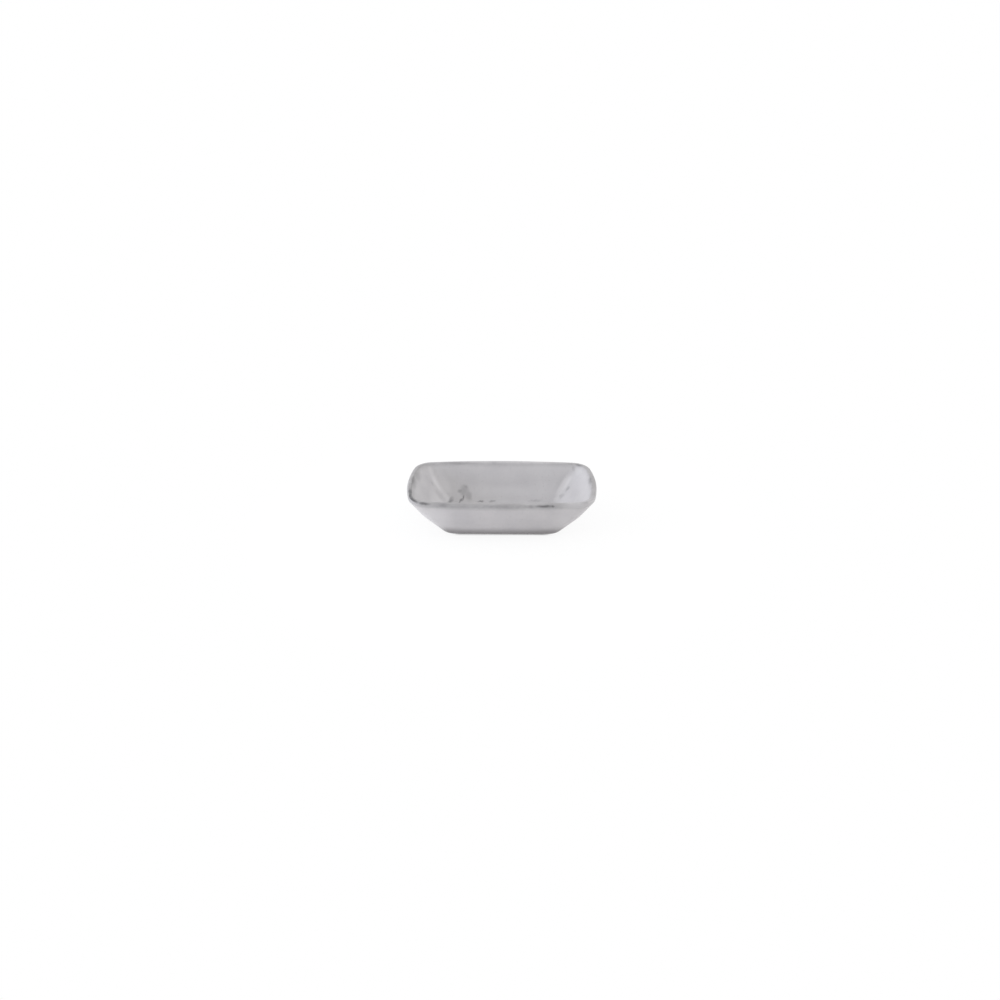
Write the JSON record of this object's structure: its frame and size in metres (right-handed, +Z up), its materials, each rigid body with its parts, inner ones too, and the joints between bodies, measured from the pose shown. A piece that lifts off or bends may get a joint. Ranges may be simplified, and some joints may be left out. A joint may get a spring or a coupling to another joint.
{
  "type": "rectangular platter",
  "caption": "Deep rectangular serving platter in glazed stoneware, with bowed and gently bellied flaring walls, a rounded dark-edged lip and a low foot ring.",
  "frame": {"origin": "on the table, under the middle of the dish", "axes": "+X along the length, +Y across the width, +Z up out of the dish"},
  "size_m": [0.17, 0.096, 0.04],
  "materials": {
    "bare_stoneware": "matte",
    "inside_glaze": "satin gloss, mottled",
    "rim_glaze": "satin gloss, broken",
    "outside_glaze": "satin gloss",
    "underside_glaze": "satin gloss"
  },
  "bodies": {
    "root": {"stoneware_body": "bare_stoneware", "inside_glaze": "inside_glaze", "rim_glaze": "rim_glaze", "outside_glaze": "outside_glaze", "underside_glaze": "underside_glaze"}
  },
  "joints": []
}
